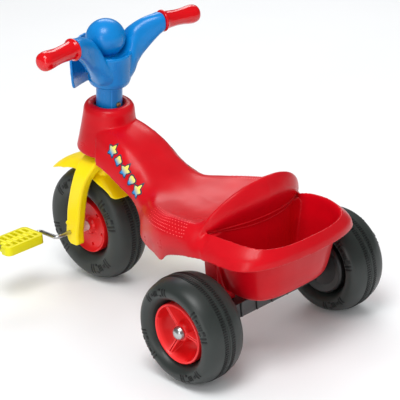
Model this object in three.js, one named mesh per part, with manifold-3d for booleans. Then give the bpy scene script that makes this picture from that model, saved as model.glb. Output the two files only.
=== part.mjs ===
// Children's tricycle: millimetres, +Z up. The origin is on the ground under the middle of the
// tricycle, +Y points to the rear, and +X is the rider's left side.
import * as THREE from 'three';
import { mergeVertices } from 'three/addons/utils/BufferGeometryUtils.js';
import Module from 'manifold-3d';

const wasm = await Module();
wasm.setup();

// ---- driving dimensions ----
const GAP = 0.3; // clearance between separate pieces
const REAR_AXLE_Y = 186; // rear axle, measured from the origin
const WHEELBASE = 386;

const REAR_R = 82.5; // rear tyre, marked 165 x 75
const REAR_WIDTH = 75;
const REAR_X = 152; // middle of a rear wheel
const FRONT_R = 97.5; // front tyre, nominal 200 x 70
const FRONT_WIDTH = 70;
const RIM_R = 47; // bead radius that both tyre sizes share
const TYRE_ROUNDNESS = 2.3; // superellipse power of a tyre section
const AXLE_R = 5;
const ROD_R = 3.5; // bent crank rod
const CRANK_X = 90; // plane of the crank arms
const CRANK_ARM = 45;
const SPINDLE_END_X = 181;

const RAKE = Math.atan(0.152);
const HEAD_Y = -340.1; // steering axis at the bottom of the head
const HEAD_Z = 240;
const HEAD_HEIGHT = 80;
const HEAD_TOP_R = 39.5;
const HEAD_BASE_R = 51;
const STEM_R = 21;
const BUSH_R = 23;
const SPIGOT_R = 17;
const STEM_TOP = 112;

const SHELL_T = 3; // wall of the blow-moulded body
const FORK_INNER_X = 45; // inner face of a fork leg
const GUARD_R = 119; // top of the mudguard, about the front axle
const GUARD_HALF = 37;
const GRIP_START = new THREE.Vector3(89, -290, 435);
const GRIP_END = new THREE.Vector3(161, -282, 432.5);
const SHIELD_HALF = 60; // hand shield in front of the cowl
const COWL_R = 34;
const PEDAL_INNER_X = 100;
const PEDAL_OUTER_X = 175;
const PEDAL_LENGTH = 54;
const PEDAL_T = 15;
const PEDAL_DROP = 2.2; // middle of the pedal below its spindle

// ---- materials ----
const finish = (color, roughness, metalness = 0) => () =>
  new THREE.MeshStandardMaterial({ color, roughness, metalness });
const RED = finish(0xd40a1e, 0.35);
const RIM_RED = finish(0xe4201e, 0.4);
const GRIP_RED = finish(0xe10014, 0.25);
const BLUE = finish(0x0073b9, 0.35);
const YELLOW = finish(0xffdc00, 0.35);
const PEDAL_YELLOW = finish(0xd7d214, 0.4);
const TYRE = finish(0x3c3e3c, 0.6);
const BLACK = finish(0x161616, 0.5);
const NYLON = finish(0xe6e4dc, 0.5);
const STEEL = finish(0xb4b4b4, 0.3, 1);
const BRASS = finish(0xa08440, 0.4, 1);

// ---- geometry helpers ----
const v3 = (x, y, z) => new THREE.Vector3(x, y, z);

function closed(geometry) {
  const bare = geometry.index ? geometry : geometry.clone();
  for (const name of ['normal', 'uv', 'uv1']) {
    bare.deleteAttribute(name);
  }
  return mergeVertices(bare, 1e-3);
}

function toSolid(geometry) {
  const bare = closed(geometry);
  const mesh = new wasm.Mesh({
    numProp: 3,
    vertProperties: new Float32Array(bare.attributes.position.array),
    triVerts: new Uint32Array(bare.index.array),
  });
  mesh.merge();
  return new wasm.Manifold(mesh);
}

function toGeometry(solid) {
  const mesh = solid.getMesh();
  const geometry = new THREE.BufferGeometry();
  geometry.setAttribute('position', new THREE.BufferAttribute(mesh.vertProperties, 3));
  geometry.setIndex(new THREE.BufferAttribute(mesh.triVerts, 1));
  geometry.computeVertexNormals();
  return geometry;
}

function join(...geometries) {
  return toGeometry(geometries.map(toSolid).reduce((sum, next) => sum.add(next)));
}

function cut(geometry, ...tools) {
  return toGeometry(tools.map(toSolid).reduce((rest, tool) => rest.subtract(tool), toSolid(geometry)));
}

// A solid between rings of points, each ring closed and all of one length, with flat ends.
function loft(rings) {
  const count = rings[0].length;
  const positions = rings.flat();
  const faces = [];
  for (let r = 0; r + 1 < rings.length; r += 1) {
    for (let i = 0; i < count; i += 1) {
      const a = r * count + i;
      const b = r * count + ((i + 1) % count);
      faces.push([a, b, b + count], [a, b + count, a + count]);
    }
  }
  for (const [ring, first, turn] of [[rings[0], 0, 1], [rings.at(-1), positions.length - count, 0]]) {
    const middle = ring.reduce((sum, p) => sum.add(p), v3(0, 0, 0)).divideScalar(count);
    const hub = positions.push(middle) - 1;
    for (let i = 0; i < count; i += 1) {
      const edge = [first + i, first + ((i + 1) % count)];
      faces.push(turn ? [edge[1], edge[0], hub] : [edge[0], edge[1], hub]);
    }
  }
  return outward(indexed(positions, faces));
}

function indexed(positions, faces) {
  const geometry = new THREE.BufferGeometry().setFromPoints(positions);
  geometry.setIndex(faces.flat());
  return geometry;
}

// Turns a closed surface so that its faces point out.
function outward(geometry) {
  const position = geometry.attributes.position;
  const index = geometry.index.array;
  const corner = (k) => v3().fromBufferAttribute(position, index[k]);
  let volume = 0;
  for (let f = 0; f < index.length; f += 3) {
    volume += corner(f).dot(corner(f + 1).cross(corner(f + 2)));
  }
  if (volume < 0) {
    for (let f = 0; f < index.length; f += 3) {
      [index[f], index[f + 1]] = [index[f + 1], index[f]];
    }
  }
  return geometry;
}

// A closed wall of even thickness under one open surface, given as patches whose edges match.
function thicken(patches, thickness) {
  const points = [];
  const keys = new Map();
  const faces = [];
  const add = (p) => {
    const key = [p.x, p.y, p.z].map((value) => Math.round(value * 100)).join();
    if (!keys.has(key)) {
      keys.set(key, points.push(p) - 1);
    }
    return keys.get(key);
  };
  const addFace = (face) => new Set(face).size === 3 && faces.push(face);
  for (const rows of patches) {
    const ids = rows.map((row) => row.map(add));
    for (let r = 0; r + 1 < ids.length; r += 1) {
      for (let c = 0; c + 1 < ids[r].length; c += 1) {
        addFace([ids[r][c], ids[r + 1][c + 1], ids[r + 1][c]]);
        addFace([ids[r][c], ids[r][c + 1], ids[r + 1][c + 1]]);
      }
    }
  }
  const skin = indexed(points, faces);
  skin.computeVertexNormals();
  const normals = skin.attributes.normal;
  const inner = points.map((point, i) => {
    const normal = v3().fromBufferAttribute(normals, i);
    return point.clone().addScaledVector(normal, -thickness);
  });
  const offset = points.length;
  const edges = new Map();
  for (const [a, b, c] of faces) {
    for (const [from, to] of [[a, b], [b, c], [c, a]]) {
      if (!edges.delete(`${to},${from}`)) {
        edges.set(`${from},${to}`, [from, to]);
      }
    }
  }
  const back = faces.map(([a, b, c]) => [offset + a, offset + c, offset + b]);
  const sides = [...edges.values()].flatMap(([a, b]) => [[b, a, offset + a], [b, offset + a, offset + b]]);
  return outward(indexed([...points, ...inner], [...faces, ...back, ...sides]));
}

// A smooth curve through points, sampled at equal steps of its own parameter.
function through(points, samples) {
  return new THREE.CatmullRomCurve3(points, false, 'centripetal').getPoints(samples);
}

function box(low, high) {
  const size = v3().subVectors(high, low);
  const middle = v3().addVectors(low, high).multiplyScalar(0.5);
  return new THREE.BoxGeometry(size.x, size.y, size.z).translate(middle.x, middle.y, middle.z);
}

// A cylinder from one point towards another, with a radius at each end.
function bar(from, to, r0, r1 = r0, sides = 24) {
  const along = v3().subVectors(to, from);
  const turn = new THREE.Quaternion().setFromUnitVectors(v3(0, 1, 0), along.clone().normalize());
  const middle = v3().addVectors(from, to).multiplyScalar(0.5);
  return new THREE.CylinderGeometry(r1, r0, along.length(), sides)
    .applyQuaternion(turn)
    .translate(middle.x, middle.y, middle.z);
}

// A turned piece about the X axis, from [x, radius] pairs that close on themselves or on the axis.
function turnedX(profile, sides) {
  const outline = profile.map(([x, r]) => new THREE.Vector2(r, x));
  const geometry = new THREE.LatheGeometry(outline, sides).rotateZ(-Math.PI / 2);
  return outward(closed(geometry));
}

function turnedZ(profile, sides) {
  const outline = profile.map(([r, z]) => new THREE.Vector2(r, z));
  const geometry = new THREE.LatheGeometry(outline, sides).rotateX(Math.PI / 2);
  return outward(closed(geometry));
}

const root = new THREE.Group();
root.position.set(0, REAR_AXLE_Y, 0);

function node(name, geometry, material) {
  const mesh = new THREE.Mesh(geometry, material());
  mesh.name = name;
  root.add(mesh);
  return mesh;
}

// Moves geometry from the steering frame, whose Z runs up the raked axis, to the part's frame.
function raked(geometry) {
  return geometry.rotateX(-RAKE).translate(0, HEAD_Y, HEAD_Z);
}

const ring = (outer, inner, low, high) => [
  [inner, low], [outer, low], [outer, high], [inner, high], [inner, low],
];

// ---- body shell ----
// Half sections of the body from the neck to the back of the seat. Each goes from the middle over
// the shoulder or seat edge down to the skirt's lower edge.
const SECTIONS = [
  [
    [0, -318, 294], [16, -318, 293.5], [30, -318, 289], [41, -317, 277],
    [47, -316, 259], [52, -314, 243], [54, -311, 231],
  ],
  [
    [0, -289, 286], [17, -289, 285.5], [33, -288, 281], [44, -287, 269],
    [50, -286, 251], [54, -286, 236], [56, -287, 225],
  ],
  [
    [0, -254, 271], [18, -254, 270.5], [34, -253, 266], [46, -251, 254],
    [53, -249, 238], [57, -247, 222], [59, -247, 208],
  ],
  [
    [0, -221, 247], [19, -221, 246.5], [35, -220, 241], [47, -218, 230],
    [56, -215, 218], [61, -213, 207], [62, -216, 194],
  ],
  [
    [0, -186, 222.5], [24, -186, 222], [43, -185, 217.5], [57, -185, 210.5],
    [68, -185, 203], [73, -187, 190], [71, -193, 174],
  ],
  [
    [0, -155, 209.5], [30, -155, 210], [57, -156, 211], [74, -157, 209],
    [87, -158, 200], [91, -164, 182], [86, -176, 154],
  ],
  [
    [0, -122, 204], [38, -122, 205], [70, -123, 209.5], [89, -124, 211],
    [105, -124, 201], [109, -126, 176], [106, -122, 147],
  ],
  [
    [0, -102, 202], [40, -102, 203], [75, -102, 209], [96, -102, 213],
    [111, -102, 201.5], [116, -102, 178], [113, -102, 141],
  ],
  [
    [0, -84, 201], [41, -84, 202], [77, -84, 209.5], [98, -84, 215.5],
    [113, -84, 201], [118, -84, 181], [117, -83, 160],
  ],
  [
    [0, -58, 203], [41, -57, 204], [78, -54, 211], [100, -52, 217.5],
    [115, -51, 202], [119, -51, 184], [118, -51, 169],
  ],
  [
    [0, -30, 222], [38, -31, 219.5], [73, -33, 217], [99, -33, 218],
    [112, -33, 204], [118, -30, 187], [119, -28, 173],
  ],
  [
    [0, -5, 254], [36, -8, 249], [68, -13, 237], [95, -21, 222],
    [106, -23, 205], [116, -20, 188], [119, -16, 175],
  ],
  [
    [0, 12, 271], [34, 9.5, 267], [65, 3, 255], [91, -9, 233],
    [102, -19, 207], [115, -13, 190], [119, -8, 176],
  ],
  [
    [0, 24, 246], [34, 20.5, 243], [64, 11, 233], [88, -5, 216],
    [99, -17, 206.5], [115, -9, 191], [120, -3, 176],
  ],
  [
    [0, 15, 204.5], [33, 11, 204.5], [61, 1, 205], [82, -10, 206],
    [95, -17, 207], [114, -5, 192], [121, 2, 177],
  ],
].map((section) => section.map(([x, y, z]) => v3(x, y, z)));
const LENGTH_STEPS = 24;
const TOP_STEPS = 6; // from the middle to the seat edge
const SKIRT_STEPS = 3; // from the seat edge to the lower edge
const EDGE_COLUMN = 4;

const mirrored = (p) => v3(-p.x, p.y, p.z);

// One station's points from the right lower edge over the top to the left lower edge.
function fullRow(half) {
  return [...half.slice(1).reverse().map(mirrored), ...half];
}

function bodyRows() {
  const rails = SECTIONS[0].map((_, column) => through(SECTIONS.map((s) => s[column]), LENGTH_STEPS));
  return rails[0].map((_, station) => {
    const section = rails.map((rail) => rail[station]);
    const curve = new THREE.CatmullRomCurve3(section, false, 'centripetal');
    const edge = EDGE_COLUMN / (section.length - 1);
    const half = [];
    for (let i = 0; i < TOP_STEPS; i += 1) {
      half.push(curve.getPoint((edge * i) / TOP_STEPS));
    }
    for (let i = 0; i <= SKIRT_STEPS; i += 1) {
      half.push(curve.getPoint(edge + ((1 - edge) * i) / SKIRT_STEPS));
    }
    return fullRow(half);
  });
}

// The tub's rim from the seat corner to the middle of the rear edge, its flare and its floor.
const LIP = [
  [95, -17, 207], [100, 6, 211], [101, 34, 212], [97, 62, 209.5], [84, 86, 206],
  [58, 98.5, 203.5], [28, 102.5, 202.5], [0, 103, 202.5],
];
const FLARE_MIDDLE = [
  [114, -5, 192], [115, 8, 195], [117, 34, 195], [114, 64, 193], [99, 90, 190], [70, 104, 189],
  [35, 109, 189], [0, 110, 189],
];
const FLARE_EDGE = [
  [121, 2, 177], [122, 14, 178], [123, 38, 178.5], [120, 66, 178], [105, 88, 178],
  [77, 102, 178], [38, 109.5, 178], [0, 111.5, 178],
];
const FLOOR_EDGE = [
  [58, 0, 109], [61, 12, 109], [63, 24, 109], [62, 36, 109], [56, 47, 109], [40, 54, 109],
  [20, 56, 109], [0, 56.5, 109],
];
const FLOOR_FRONT = [[0, 8, 109], [20, 7, 109], [40, 4, 109], [58, 0, 109]];
// How far the wall has moved in, and down, at each row of the tub.
const WALL = [
  [0, 0], [0.1, 0.06], [0.22, 0.25], [0.4, 0.55], [0.55, 0.82], [0.68, 0.95], [0.85, 0.995],
  [1, 1],
];
const FRONT_WALL = [
  [0, 0], [0.06, 0.1], [0.16, 0.28], [0.32, 0.56], [0.5, 0.82], [0.66, 0.95], [0.84, 0.995],
  [1, 1],
];

const halfCurve = (table, steps) => through(table.map(([x, y, z]) => v3(x, y, z)), steps);

function rimCurves() {
  return [LIP, FLARE_MIDDLE, FLARE_EDGE, FLOOR_EDGE].map((table) => {
    const half = halfCurve(table, TOP_STEPS);
    return [...half, ...half.slice(0, -1).reverse().map(mirrored)].map(mirrored);
  });
}

function wallPatch(top, bottom, steps) {
  return steps.map(([inwards, down]) =>
    top.map((p, i) => {
      const q = bottom[i];
      return v3(
        THREE.MathUtils.lerp(p.x, q.x, inwards),
        THREE.MathUtils.lerp(p.y, q.y, inwards),
        THREE.MathUtils.lerp(p.z, q.z, down),
      );
    }),
  );
}

function tubPatches(seatRow) {
  const [lip, flareMiddle, flareEdge, floorEdge] = rimCurves();
  const front = seatRow.slice(SKIRT_STEPS, seatRow.length - SKIRT_STEPS);
  const halfFloor = halfCurve(FLOOR_FRONT, TOP_STEPS);
  const floorFront = fullRow(halfFloor);
  const skirt = seatRow.slice(0, SKIRT_STEPS + 1).reverse();
  const flare = lip.map((p, i) => {
    const points = [p, flareMiddle[i], flareEdge[i]];
    return new THREE.CatmullRomCurve3(points, false, 'centripetal').getPoints(SKIRT_STEPS);
  });
  flare[0] = skirt;
  flare[flare.length - 1] = skirt.map(mirrored);
  const flareRows = skirt.map((_, r) => flare.map((column) => column[r]));
  const rear = wallPatch(lip, floorEdge, WALL);
  const frontWall = wallPatch(front, floorFront, FRONT_WALL);
  rear.forEach((row, r) => {
    row[0] = frontWall[r][0];
    row[row.length - 1] = frontWall[r].at(-1);
  });
  const floor = wallPatch(floorFront, floorEdge, [[0, 0], [0.33, 0.33], [0.67, 0.67], [1, 1]]);
  const facingIn = (rows) => rows.map((row) => [...row].reverse());
  return { walls: [frontWall, facingIn(rear), floor], flare: flareRows, rear, frontWall };
}

function headColumn() {
  const wall = 4;
  const tubeR = BUSH_R + GAP + 3.7;
  const bore = BUSH_R + GAP;
  const top = HEAD_HEIGHT;
  const outline = [
    [bore, 0], [tubeR, 0], [tubeR, top - 8], [HEAD_TOP_R - wall - 2, top - 8], [HEAD_BASE_R - wall, 0],
    [HEAD_BASE_R - 1, 0], [HEAD_BASE_R, 3], [HEAD_TOP_R + 2.2, top - 20], [HEAD_TOP_R + 1, top - 8],
    [HEAD_TOP_R - 2, top - 2.4], [HEAD_TOP_R - 7, top], [bore + 3, top - 1], [bore, top - 3.5], [bore, 0],
  ];
  return raked(turnedZ(outline, 32));
}

function axleLeg(side) {
  return box(
    v3(side > 0 ? 55 : -90, -31, 92),
    v3(side > 0 ? 90 : -55, -3, 204),
  );
}

function bodyShell() {
  const rows = bodyRows();
  const tub = tubPatches(rows.at(-1));
  const skin = thicken([rows, tub.flare, ...tub.walls], SHELL_T);
  const hollow = tub.rear.map((row, r) => [...row, ...tub.frontWall[r].slice(1, -1).reverse()]);
  hollow.unshift(hollow[0].map((p) => v3(p.x, p.y, p.z + 20)));
  const bore = raked(bar(v3(0, 0, -20), v3(0, 0, 120), BUSH_R + GAP, BUSH_R + GAP, 32));
  const tubVoid = loft(hollow).translate(0, -SHELL_T / 2, 0); // ends inside the wall that the legs join
  const legs = [1, -1].map((side) => cut(axleLeg(side), tubVoid));
  return cut(join(skin, headColumn(), ...legs), bore);
}

// ---- rear axle, carrier and wheels ----
function axleCarrier() {
  const beam = box(v3(-100, -18, 69), v3(100, 14, 92 - GAP));
  const pockets = [-80, -48, -16, 16, 48, 80].map((x) => box(v3(x - 13, -14, 60), v3(x + 13, -7.5, 88)));
  const bosses = [-72, 72].map((x) => bar(v3(x, -25, 70), v3(x, -25, 92 - GAP), 7, 7, 20));
  const webs = [-72, 72].map((x) => box(v3(x - 5, -25, 70), v3(x + 5, -17, 90)));
  const holes = [-72, 72].map((x) => bar(v3(x, -25, 60), v3(x, -25, 100), 2.6, 2.6, 16));
  const bore = bar(v3(-120, 0, REAR_R), v3(120, 0, REAR_R), AXLE_R + GAP, AXLE_R + GAP, 24);
  return cut(join(beam, ...bosses, ...webs), ...pockets, ...holes, bore);
}

function screw(headR, headH, shankR, length) {
  const profile = [
    [0, 0], [headR * 0.8, 0], [headR, headH * 0.4], [headR, headH], [shankR, headH],
    [shankR, length], [0, length + shankR],
  ];
  return turnedZ(profile, 16);
}

// Half of a tyre section, as [x, r] points, from one bead over the tread to the other.
function tyreProfile(radius, width) {
  const halfHeight = (radius - RIM_R) / 2;
  const middle = RIM_R + halfHeight;
  const steps = 16;
  const points = [];
  const power = (value) => Math.sign(value) * Math.abs(value) ** (2 / TYRE_ROUNDNESS);
  const widest = power(Math.cos(Math.PI / steps));
  for (let i = 0; i < steps; i += 1) {
    const angle = (2 * Math.PI * (i + 0.5)) / steps;
    const bulge = (value) => power(value) / widest;
    points.push([(width / 2) * bulge(Math.cos(angle)), middle + halfHeight * bulge(Math.sin(angle))]);
  }
  return [...points, points[0]];
}

// A tyre whose lowest facet is flat on the ground, with a cylindrical seat for its rim.
function tyre(radius, width, sides) {
  const seat = turnedX([[-60, 0], [-60, RIM_R], [60, RIM_R], [60, 0]], sides);
  const half = Math.PI / sides;
  const body = turnedX(tyreProfile(radius / Math.cos(half), width), sides);
  return cut(body, seat).rotateX(half);
}

// Rear rim: a dished face with three raised pockets round the hub. +x is the outer side.
function rearRim() {
  const edge = RIM_R - GAP;
  const face = turnedX([
    [-6, edge], [28, edge], [29.5, edge - 2], [28, edge - 4], [8, 33], [6, 20], [20, 14], [22, 11.5],
    [22, AXLE_R + GAP], [-10, AXLE_R + GAP], [-10, 14], [0, 20], [2, 33], [-6, edge - 4], [-6, edge],
  ], 22);
  const ribs = [0, 1, 2].map((k) => box(v3(4, -2, 12), v3(22, 2, 41)).rotateX((k * 2 * Math.PI) / 3 + 0.5));
  return join(face, ...ribs);
}

function rearInnerHub() {
  const edge = RIM_R - GAP;
  return turnedX([
    [-34, edge - 3], [-31, edge], [-7, edge], [-7, edge - 5], [-24, 30], [-16, 18], [-16, AXLE_R + GAP],
    [-36, AXLE_R + GAP], [-36, 15], [-30, 33], [-34, edge - 3],
  ], 22);
}

function rearWheel(side, name) {
  const parts = [
    [`rear_tyre_${name}`, tyre(REAR_R, REAR_WIDTH, 30), TYRE],
    [`rear_rim_${name}`, rearRim(), RIM_RED],
    [`rear_hub_${name}`, rearInnerHub(), BLACK],
  ];
  for (const [label, geometry, material] of parts) {
    geometry.rotateZ(side < 0 ? Math.PI : 0);
    node(label, geometry.translate(side * REAR_X, 0, REAR_R), material);
  }
  const cap = turnedX([
    [0, AXLE_R + GAP], [0, 10.5], [2.5, 10.5], [5.5, 9.2], [8, 6.2], [9.4, 0], [6.5, 0],
    [6.5, AXLE_R + GAP],
    [0, AXLE_R + GAP],
  ], 24).rotateZ(side < 0 ? Math.PI : 0);
  node(`axle_cap_${name}`, cap.translate(side * (REAR_X + 22 + GAP), 0, REAR_R), STEEL);
  const washer = turnedX(ring(11, AXLE_R + GAP, -1, 1).map(([r, x]) => [x, r]), 24);
  node(`axle_washer_${name}`, washer.translate(side * 108, 0, REAR_R), STEEL);
}

// ---- front wheel, crank and pedals ----
function frontRim(side) {
  const edge = RIM_R - GAP;
  const disc = turnedX([
    [GAP / 2, edge], [27, edge], [28, edge - 1.5], [27, edge - 3], [23, 40], [21, 20],
    [26, 14], [26, ROD_R + GAP],
    [GAP / 2, ROD_R + GAP], [GAP / 2, 10], [16, 16], [18, 38], [GAP / 2, edge - 3], [GAP / 2, edge],
  ], 22);
  return disc.rotateZ(side < 0 ? Math.PI : 0);
}

// The bent rod, from the right pedal through the front wheel to the left pedal.
function crankRod() {
  const bend = 7;
  const corners = [
    v3(-SPINDLE_END_X, CRANK_ARM, 0), v3(-CRANK_X, CRANK_ARM, 0), v3(-CRANK_X, 0, 0),
    v3(CRANK_X, 0, 0), v3(CRANK_X, -CRANK_ARM, 0), v3(SPINDLE_END_X, -CRANK_ARM, 0),
  ];
  const path = new THREE.CurvePath();
  let from = corners[0];
  for (let i = 1; i + 1 < corners.length; i += 1) {
    const before = corners[i].clone().add(corners[i - 1].clone().sub(corners[i]).setLength(bend));
    const after = corners[i].clone().add(corners[i + 1].clone().sub(corners[i]).setLength(bend));
    path.add(new THREE.LineCurve3(from, before));
    path.add(new THREE.QuadraticBezierCurve3(before, corners[i], after));
    from = after;
  }
  path.add(new THREE.LineCurve3(from, corners.at(-1)));
  const section = new THREE.Shape().absarc(0, 0, ROD_R, 0, 2 * Math.PI);
  const rod = new THREE.ExtrudeGeometry(section, { steps: 36, extrudePath: path, curveSegments: 4 });
  return outward(closed(rod));
}

function pedal(side) {
  const middle = (PEDAL_INNER_X + PEDAL_OUTER_X) / 2;
  const halfX = (PEDAL_OUTER_X - PEDAL_INNER_X) / 2;
  const halfY = PEDAL_LENGTH / 2;
  const corner = 9;
  const outline = new THREE.Shape();
  outline.moveTo(-halfX + corner, -halfY);
  outline.lineTo(halfX - corner, -halfY);
  outline.quadraticCurveTo(halfX, -halfY, halfX, -halfY + corner);
  outline.lineTo(halfX, -9);
  outline.lineTo(halfX - 5, -6);
  outline.lineTo(halfX - 5, 6);
  outline.lineTo(halfX, 9);
  outline.lineTo(halfX, halfY - corner);
  outline.quadraticCurveTo(halfX, halfY, halfX - corner, halfY);
  outline.lineTo(-halfX + corner, halfY);
  outline.quadraticCurveTo(-halfX, halfY, -halfX, halfY - corner);
  outline.lineTo(-halfX, -halfY + corner);
  outline.quadraticCurveTo(-halfX, -halfY, -halfX + corner, -halfY);
  const settings = { depth: PEDAL_T, bevelEnabled: false, curveSegments: 4 };
  const plate = new THREE.ExtrudeGeometry(outline, settings);
  plate.translate(0, 0, -PEDAL_T / 2 - PEDAL_DROP);
  const slots = [-1, 1].flatMap((row) => [-24, -12, 0, 12, 24].map((x) =>
    box(v3(x - 3.6, row > 0 ? 8.5 : -22, -20), v3(x + 3.6, row > 0 ? 22 : -8.5, 20))));
  const bore = bar(v3(-60, 0, 0), v3(60, 0, 0), ROD_R + GAP, ROD_R + GAP, 16);
  return cut(plate, ...slots, bore).translate(side * middle, 0, 0);
}

function frontWheelAndCrank() {
  const axle = [0, -WHEELBASE, FRONT_R];
  node('front_tyre', tyre(FRONT_R, FRONT_WIDTH, 32).translate(...axle), TYRE);
  node('front_rim_left', frontRim(1).translate(...axle), RIM_RED);
  node('front_rim_right', frontRim(-1).translate(...axle), RIM_RED);
  node('crank_rod', crankRod().translate(...axle), STEEL);
  for (const [side, name] of [[1, 'left'], [-1, 'right']]) {
    const y = -WHEELBASE - side * CRANK_ARM;
    node(`pedal_${name}`, pedal(side).translate(0, y, FRONT_R), PEDAL_YELLOW);
    const cap = turnedX([[0, 0], [0, 6.5], [3.5, 6.5], [5, 5], [5, 0]], 20).rotateZ(side < 0 ? Math.PI : 0);
    node(`pedal_cap_${name}`, cap.translate(side * (SPINDLE_END_X + GAP), y, FRONT_R), BLACK);
    const sleeve = ring(8, ROD_R + GAP, 26 + GAP, FORK_INNER_X - GAP);
    const spacer = turnedX(sleeve.map(([r, x]) => [side * x, r]), 20);
    node(`crank_spacer_${name}`, spacer.translate(0, -WHEELBASE, FRONT_R), NYLON);
  }
}

// ---- fork and mudguard ----
// One leg and its half of the crown, as [x, y, z, half width along y, half thickness] stations.
const FORK_STATIONS = [
  [53.5, -380, 77, 9, 8.5], [53.5, -382, 82, 12.5, 8.5], [53.5, -382.5, 97.5, 14.5, 8.5],
  [53.5, -377, 120, 15, 8.5],
  [53.5, -372.5, 140, 15.5, 8.5], [53.5, -363, 168, 15, 8.5], [52.5, -354, 190, 15.5, 8.5],
  [49, -347, 206, 17, 8.5],
  [39, -343, 219, 20, 8.5], [22, -342, 226.5, 23, 8.5], [0, -342, 228, 24, 8],
];

function forkLeg(side) {
  const path = FORK_STATIONS.map(([x, y, z]) => v3(side * x, y, z));
  const rings = FORK_STATIONS.map(([, , , halfY, halfT], i) => {
    const before = path[Math.max(i - 1, 0)];
    const after = path[Math.min(i + 1, path.length - 1)];
    const along = v3().subVectors(after, before).setX(0.0001 + after.x - before.x).normalize();
    const flat = v3(side * along.z, 0, -side * along.x).normalize();
    const corners = [
      [-1, -0.6], [-0.86, -1], [0.86, -1], [1, -0.6], [1, 0.6], [0.86, 1], [-0.86, 1],
      [-1, 0.6],
    ];
    return corners.map(([a, b]) =>
      path[i].clone().addScaledVector(v3(0, 1, 0), a * halfY).addScaledVector(flat, b * halfT));
  });
  return loft(rings);
}

function mudguard() {
  const rows = [];
  const degrees = THREE.MathUtils.degToRad;
  for (let i = 0; i <= 14; i += 1) {
    const row = [];
    for (let j = 0; j <= 8; j += 1) {
      const across = j / 4 - 1;
      const rear = degrees(37 + 5 * Math.abs(across) ** 3);
      const front = degrees(136 - 28 * Math.abs(across) ** 2.4);
      const angle = THREE.MathUtils.lerp(front, rear, i / 14);
      const bend = degrees(85) * across;
      const drop = 9 + 9 * THREE.MathUtils.smoothstep(angle, degrees(42), degrees(62));
      const r = GUARD_R - drop * (1 - Math.cos(bend) ** 0.8);
      const x = GUARD_HALF * Math.sign(bend) * Math.abs(Math.sin(bend)) ** 0.85;
      row.push(v3(x, -WHEELBASE + r * Math.cos(angle), FRONT_R + r * Math.sin(angle)));
    }
    rows.push(row);
  }
  return thicken([rows], 3);
}

function fork() {
  const crown = raked(bar(v3(0, 0, -37), v3(0, 0, -1.5), 30, 27, 32));
  const spigot = raked(bar(v3(0, 0, -10), v3(0, 0, 100), SPIGOT_R, SPIGOT_R, 24));
  const bosses = [1, -1].map((side) => bar(v3(side * 60, -391, 113), v3(side * 63, -391, 113), 3.6, 3, 16));
  const bore = bar(v3(-90, -WHEELBASE, FRONT_R), v3(90, -WHEELBASE, FRONT_R), ROD_R + GAP, ROD_R + GAP, 20);
  const screwHole = raked(bar(v3(0, 0, 82), v3(0, 40, 82), 2.3, 2.3, 16));
  return cut(join(forkLeg(1), forkLeg(-1), mudguard(), crown, spigot, ...bosses), bore, screwHole);
}

// ---- handlebar ----
// Half of the cowl and its arm, as [x, y, middle z, half depth, half height] stations.
const BAR_STATIONS = [
  [0, -318, 374, 28, 24], [20, -317, 376, 27, 25], [32, -313, 390, 22, 32], [40, -310, 402, 18, 31],
  [50, -306, 412, 15.5, 27.5], [60, -301, 420, 14.5, 24.5], [70, -296, 427, 14.5, 20.5],
  [79, -292, 432, 15, 17],
  [86.8, -290, 435, 15, 15.5],
];

function barStation([x, y, z, halfY, halfZ], side) {
  const ringPoints = [];
  const steps = 16;
  for (let i = 0; i < steps; i += 1) {
    const angle = (2 * Math.PI * i) / steps;
    const square = (value) => Math.sign(value) * Math.abs(value) ** 0.8;
    ringPoints.push(v3(side * x, y + halfY * square(Math.cos(angle)), z + halfZ * square(Math.sin(angle))));
  }
  return ringPoints;
}

function shield() {
  const rows = [];
  for (let i = 0; i <= 5; i += 1) {
    const row = [];
    for (let j = 0; j <= 10; j += 1) {
      const across = j / 5 - 1;
      const up = i / 5;
      const x = SHIELD_HALF * across * (1 - 0.09 * Math.abs(2 * up - 1) ** 6);
      const y = -376 + 33 * Math.abs(x / SHIELD_HALF) ** 1.5;
      row.push(v3(x, y, 346 + 6 * across ** 2 + (78 - 26 * across ** 2) * up));
    }
    rows.push(row);
  }
  return thicken([rows], 4);
}

function handlebar() {
  const right = BAR_STATIONS.slice(1).reverse().map((station) => barStation(station, -1));
  const left = BAR_STATIONS.map((station) => barStation(station, 1));
  const wings = loft([...right, ...left]);
  const dome = new THREE.SphereGeometry(1, 20, 12).scale(32, 31, 30).translate(0, -322, 425.5);
  const cowl = raked(turnedZ([
    [0, 111], [26, 111], [COWL_R - 2, 115], [COWL_R, 121], [COWL_R, 161], [COWL_R - 1, 165.5],
    [COWL_R - 3, 166],
    [COWL_R - 6, 162], [0, 159],
  ], 28));
  const stem = raked(bar(v3(0, 0, 58), v3(0, 0, STEM_TOP + 6), STEM_R, STEM_R, 28));
  const sleeve = raked(bar(v3(0, 0, 4), v3(0, 0, 60), STEM_R, STEM_R, 28));
  const bore = raked(bar(v3(0, 0, -5), v3(0, 0, 103), SPIGOT_R + GAP, SPIGOT_R + GAP, 24));
  const screwHole = raked(bar(v3(0, 0, 82), v3(0, 40, 82), 2.3, 2.3, 16));
  const web = box(v3(-14, -369, 362), v3(14, -340, 388));
  const spigots = [1, -1].map((side) => {
    const at = (p) => v3(side * p.x, p.y, p.z);
    const end = GRIP_START.clone().lerp(GRIP_END, 0.8);
    const start = GRIP_START.clone().lerp(GRIP_END, -0.12);
    return bar(at(start), at(end), 8, 8, 16);
  });
  return cut(join(wings, cowl, dome, stem, sleeve, shield(), web, ...spigots), bore, screwHole);
}

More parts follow.
